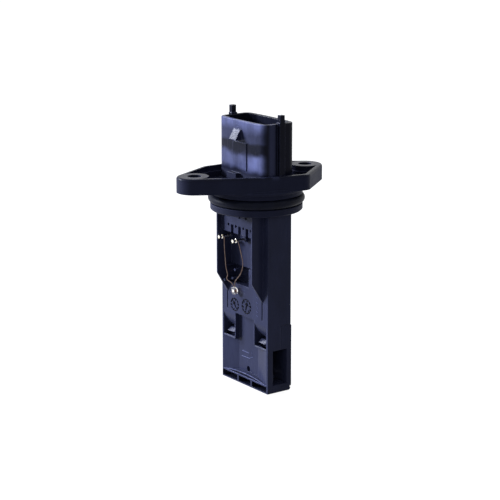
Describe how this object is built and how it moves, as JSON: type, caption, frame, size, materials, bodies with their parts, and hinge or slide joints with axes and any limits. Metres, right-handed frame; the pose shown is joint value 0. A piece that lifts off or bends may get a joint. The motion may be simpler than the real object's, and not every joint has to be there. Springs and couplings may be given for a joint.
{
  "type": "mass airflow sensor",
  "caption": "Plug-in mass airflow sensor with a connector socket, an eared flange, a sealed spigot and a flat probe holding an air channel and a guarded temperature bead.",
  "frame": {"origin": "centre of the spigot at the level of the flange's underside", "axes": "+Z along the spigot axis towards the connector, +X across the probe's width, -Y out of the front face with the temperature bead"},
  "size_m": [0.037, 0.059, 0.1027],
  "materials": {
    "housing_plastic": "satin black moulded plastic",
    "cover_plastic": "satin black moulded plastic",
    "seal_rubber": "matt black rubber",
    "contact_metal": "tinned brass",
    "plate_metal": "rolled",
    "board": "pale ceramic board",
    "chip": "moulded",
    "capacitor": "ceramic",
    "resistor": "glazed",
    "carrier_plastic": "moulded",
    "sensor_silicon": "polished",
    "pin_metal": "tinned",
    "lead_metal": "drawn wire",
    "bead_glass": "clear drop",
    "bead_core": "copper coloured"
  },
  "bodies": {
    "root": {"base_plate": "plate_metal", "bead_core": "bead_core", "bead_glass": "bead_glass", "capacitor_1": "capacitor", "capacitor_2": "capacitor", "capacitor_3": "capacitor", "channel_cover": "cover_plastic", "circuit_board": "board", "electronics_cover": "cover_plastic", "housing": "housing_plastic", "lead_left": "lead_metal", "lead_right": "lead_metal", "o_ring": "seal_rubber", "resistor_1": "resistor", "resistor_2": "resistor", "sensor_carrier": "carrier_plastic", "sensor_chip": "sensor_silicon", "signal_chip": "chip", "terminal_1": "contact_metal", "terminal_2": "contact_metal", "terminal_3": "contact_metal", "terminal_4": "contact_metal", "weld_pin_left": "pin_metal", "weld_pin_right": "pin_metal"}
  },
  "joints": []
}
